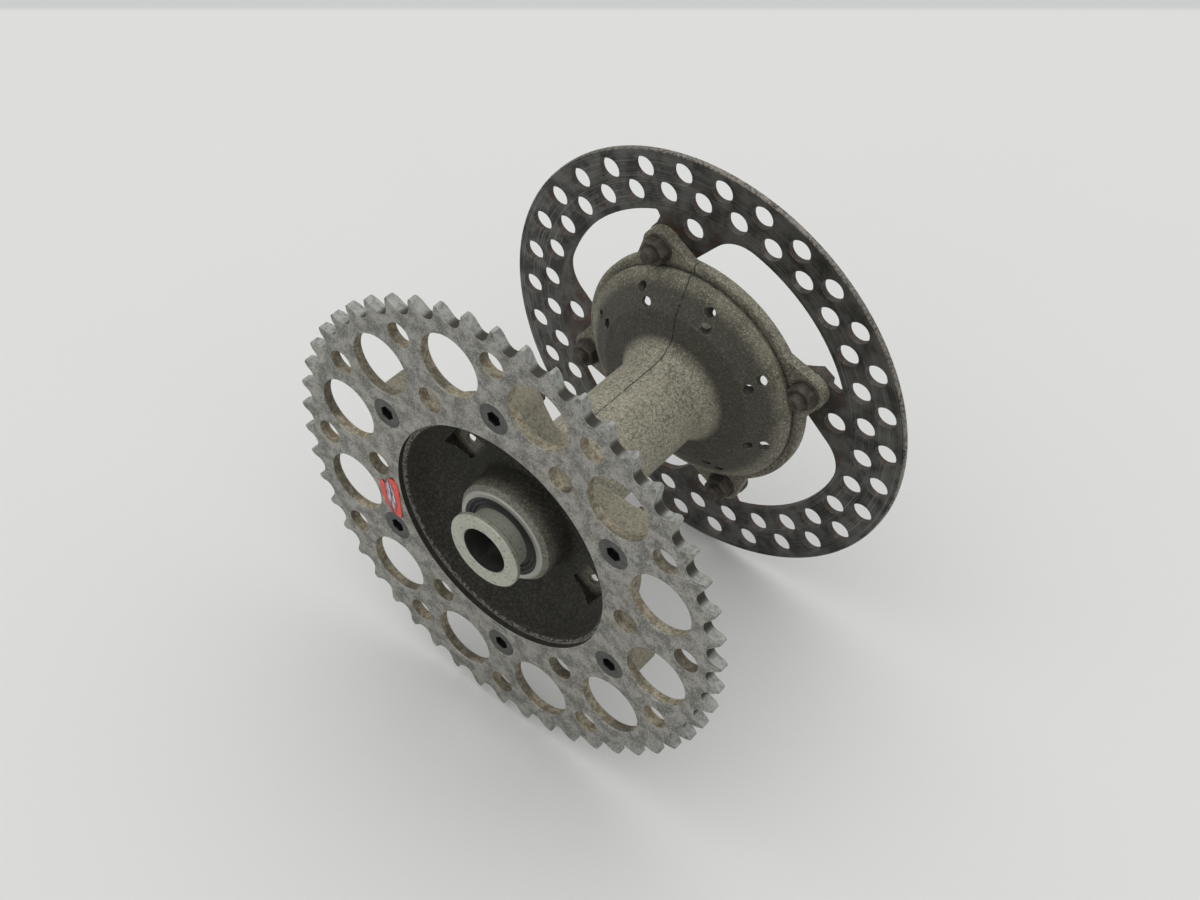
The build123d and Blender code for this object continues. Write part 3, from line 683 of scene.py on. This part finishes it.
def makeThreads(sizes):
    tree = threadTree()
    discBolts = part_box("disc_bolts")
    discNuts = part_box("disc_nuts")
    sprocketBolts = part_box("sprocket_bolts")
    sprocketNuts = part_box("sprocket_nuts")
    bare, intoNut = sizes["bareTip"], sizes["intoNut"]
    shared = {name.capitalize(): sizes[name] for name in ("radius", "pitch", "ridge", "sides")}
    spans = {
        "stud_threads": ("disc", discBolts[0].y + bare, discNuts[0].y + intoNut, "zinc_steel"),
        "bolt_threads": (
            "sprocket", sprocketNuts[1].y - intoNut, sprocketBolts[1].y - bare, "black_oxide",
        ),
    }
    for name, (side, low, high, finishName) in spans.items():
        values = {
            "Circle": sizes[side + "Circle"],
            "Count": sizes[side + "Count"],
            "First": math.radians(sizes[side + "First"]),
            "Start": low,
            "Length": high - low,
            "Finish": finishes[finishName],
            **shared,
        }
        piece = growPiece(name, tree, values)
        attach(piece, "hub")


makeThreads(boltThreads)
print("threads cut")


seamLine = {
    "angle": 91.3,
    "from": 0.030,
    "to": 0.148,
    "step": 0.0006,
    "halfWidth": 0.00045,
    "height": 0.00028,
    "sink": 0.0001,
    "castFrom": 0.09,
    "drift": 0.00012,
    "driftKept": 0.9,
    "gapShare": 0.05,
    "seed": 7,
}


def makeSeam(sizes):  # the casting's parting line, a thin broken ridge along its top
    hub = nodes["hub_shell"].data
    surface = BVHTree.FromPolygons([v.co for v in hub.vertices], [p.vertices for p in hub.polygons])
    chance = random.Random(sizes["seed"])
    angle = math.radians(sizes["angle"])
    outward = Vector((math.cos(angle), 0, math.sin(angle)))
    side = Vector((-math.sin(angle), 0, math.cos(angle)))
    count = int((sizes["to"] - sizes["from"]) / sizes["step"])
    made = bmesh.new()
    last = None
    drift = 0.0
    for k in range(count):
        y = sizes["from"] + k * sizes["step"]
        drift = sizes["driftKept"] * drift + chance.uniform(-sizes["drift"], sizes["drift"])
        start = outward * sizes["castFrom"] + side * drift + Vector((0, y, 0))
        hit, normal, _, _ = surface.ray_cast(start, -outward)
        if hit is None or chance.random() < sizes["gapShare"]:
            last = None
            continue
        tall = sizes["height"] * chance.uniform(0.5, 1.1)
        wide = sizes["halfWidth"] * chance.uniform(0.7, 1.2)
        foot = hit - normal * sizes["sink"]
        corners = (foot - side * wide, hit + normal * tall, foot + side * wide)
        row = [made.verts.new(corner) for corner in corners]
        if last:
            for a, b in ((0, 1), (1, 2), (2, 0)):
                made.faces.new((last[a], last[b], row[b], row[a]))
        else:
            made.faces.new(row)
        last = row
    bmesh.ops.recalc_face_normals(made, faces=made.faces)
    mesh = bpy.data.meshes.new("casting_seam")
    made.to_mesh(mesh)
    made.free()
    mesh.materials.append(finishes["hub_cast"])
    piece = bpy.data.objects.new("casting_seam", mesh)
    scene.collection.objects.link(piece)
    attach(piece, "hub")


makeSeam(seamLine)
print("parting line raised")


wornPatch = {
    "outline": [
        (-75.4, -7.9), (-72.9, -9.4), (-71.2, -5.4), (-68.6, -3.2), (-66.0, -4.8), (-64.7, -8.0),
        (-64.3, -11.5), (-64.2, -17.0), (-64.0, -23.3), (-63.9, -27.5), (-65.2, -29.2),
        (-67.2, -28.7), (-70.4, -27.6), (-73.3, -25.1), (-75.1, -22.7), (-76.3, -18.3),
        (-77.2, -14.6), (-77.2, -11.3),
    ],  # millimetres on the sprocket's face
    "centre": (-70.4, -16.5),
    "rings": 10,
    "around": 96,
    "thickness": 0.00022,
    "curl": 0.00045,
    "wrinkle": 0.00012,
    "clearance": 0.00002,
    "liftFrom": 0.72,
    "liftGain": 6.7,
    "waves": 4,
    "seed": 3,
}


def makePatch(sizes):
    chance = random.Random(sizes["seed"])
    corners = [Vector((x, 0, z)) * 0.001 for x, z in sizes["outline"]]
    middle = Vector((sizes["centre"][0], 0, sizes["centre"][1])) * 0.001
    around, rings = sizes["around"], sizes["rings"]
    rim, lift = [], []
    waves = [(chance.uniform(0, 6.28), chance.randint(2, 7)) for _ in range(sizes["waves"])]
    for k in range(around):
        spot = k / around * len(corners)
        i, t = int(spot), spot - int(spot)
        p0, p1, p2, p3 = (corners[(i + n) % len(corners)] for n in (-1, 0, 1, 2))
        bend = 2 * p0 - 5 * p1 + 4 * p2 - p3
        twist = 3 * p1 - p0 - 3 * p2 + p3
        rim.append(0.5 * (2 * p1 + (p2 - p0) * t + bend * t * t + twist * t ** 3))
        wave = sum(math.sin(start + turns * 2 * math.pi * k / around) for start, turns in waves)
        lift.append(max(0.0, wave) / 2.5)
    made = bmesh.new()
    layers = []
    for face in (0, 1):  # upper skin, then the glue side
        base = sizes["thickness"] * (1 - face)
        grid = [[made.verts.new(middle - Vector((0, base + sizes["clearance"], 0)))]]
        for r in range(1, rings + 1):
            share = r / rings
            row = []
            for k in range(around):
                bent = max(0.0, share - sizes["liftFrom"]) ** 1.5
                risen = sizes["curl"] * lift[k] * bent * sizes["liftGain"]
                swell = math.sin(9 * share + 5 * math.sin(k * 0.2))
                ripple = sizes["wrinkle"] * swell * share * (1 - face)
                height = base + risen + max(0.0, ripple) + sizes["clearance"]
                row.append(made.verts.new(middle.lerp(rim[k], share) - Vector((0, height, 0))))
            grid.append(row)
        layers.append(grid)
        for k in range(around):
            n = (k + 1) % around
            made.faces.new((grid[0][0], grid[1][k], grid[1][n]))
            for r in range(1, rings):
                made.faces.new((grid[r][k], grid[r + 1][k], grid[r + 1][n], grid[r][n]))
    for k in range(around):
        n = (k + 1) % around
        upper, lower = layers[0][rings], layers[1][rings]
        made.faces.new((upper[k], lower[k], lower[n], upper[n]))
    bmesh.ops.recalc_face_normals(made, faces=made.faces)
    mesh = bpy.data.meshes.new("worn_patch")
    made.to_mesh(mesh)
    made.free()
    for polygon in mesh.polygons:
        polygon.use_smooth = True
    mesh.materials.append(finishes["patch_vinyl"])
    piece = bpy.data.objects.new("worn_patch", mesh)
    scene.collection.objects.link(piece)
    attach(piece, "hub")
    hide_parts("sprocket_patch")


makePatch(wornPatch)
print("patch laid")


studioLook = {
    "floor": shade(214, 214, 213),
    "farFloor": shade(196, 197, 198),
    "worn": shade(204, 204, 203),
    "away": (-0.629, 0.777),
    "edgeWidth": 0.004,
    "normal": (0.0386, -0.0477, 0.998),
    "touch": (0.0, 0.0028, -0.1309),
    "farEdge": 0.638,
    "size": 8.0,
    "sky": shade(250, 251, 250),
    "horizon": 0.4,
    "zenith": 1.32,
    "rise": (0.1, 0.95),
}


def makeFloor(look):
    normal = Vector(look["normal"]).normalized()
    turn = normal.to_track_quat("Z", "Y").to_matrix().to_4x4()
    mesh = bpy.data.meshes.new("floor")
    half = look["size"] / 2
    corners = [(-half, -half), (half, -half), (half, half), (-half, half)]
    place = Matrix.Translation(look["touch"]) @ turn
    mesh.from_pydata([place @ Vector((a, b, 0)) for a, b in corners], [], [(0, 1, 2, 3)])
    floor = bpy.data.objects.new("floor", mesh)
    scene.collection.objects.link(floor)
    f = Finish("pale floor")
    awayX, awayY = look["away"]
    away = f.y * awayY + f.x * awayX
    cloud = f.noise(0.25, 3.0, 0.5)
    colour = f.mix(cloud.between(0.3, 0.7) * 0.06, look["floor"], look["worn"])
    far = away.between(look["farEdge"] - look["edgeWidth"], look["farEdge"] + look["edgeWidth"])
    colour = f.mix(far, colour, look["farFloor"])
    mesh.materials.append(f.close(colour, 0.6 + 0.1 * cloud, 0.0, f.noise(0.004, 2.0), 0.0001))


def makeLight(name, place, aim, size, power):
    data = bpy.data.lights.new(name, "AREA")
    data.shape = "RECTANGLE"
    data.size, data.size_y = size
    data.energy = power
    light = bpy.data.objects.new(name, data)
    light.location = place
    light.rotation_euler = (Vector(aim) - Vector(place)).to_track_quat("-Z", "Y").to_euler()
    scene.collection.objects.link(light)


def makeSky(look):  # soft dome, bright overhead and dim at the horizon
    world = bpy.data.worlds.new("studio")
    world.use_nodes = True
    tree = world.node_tree
    background = tree.nodes["Background"]
    background.inputs["Color"].default_value = look["sky"]
    direction = tree.nodes.new("ShaderNodeTexCoord")
    split = tree.nodes.new("ShaderNodeSeparateXYZ")
    rise = tree.nodes.new("ShaderNodeMapRange")
    rise.interpolation_type = "SMOOTHSTEP"
    rise.inputs["From Min"].default_value, rise.inputs["From Max"].default_value = look["rise"]
    rise.inputs["To Min"].default_value = look["horizon"]
    rise.inputs["To Max"].default_value = look["zenith"]
    tree.links.new(direction.outputs["Generated"], split.inputs[0])
    tree.links.new(split.outputs["Z"], rise.inputs["Value"])
    tree.links.new(rise.outputs["Result"], background.inputs["Strength"])
    scene.world = world


makeFloor(studioLook)
makeLight("ceiling panel", (-0.35, 0.45, 1.6), (0, 0.1, 0), (2.4, 1.6), 3.5)
makeSky(studioLook)
scene.view_settings.view_transform = "Standard"

cameraLook = {
    "place": (0.37465, -0.38630, 0.58698),
    "forward": (-0.44811423, 0.55355147, -0.70197892),
    "lens": 50.943,
    "sensor": 36.0,
    "clip": (0.01, 50.0),
}
camera = bpy.data.objects.new("camera", bpy.data.cameras.new("camera"))
camera.data.sensor_width = cameraLook["sensor"]
camera.data.lens = cameraLook["lens"]
camera.data.clip_start, camera.data.clip_end = cameraLook["clip"]
camera.location = cameraLook["place"]
camera.rotation_euler = Vector(cameraLook["forward"]).to_track_quat("-Z", "Y").to_euler()
scene.collection.objects.link(camera)
scene.camera = camera
print("studio and camera set")
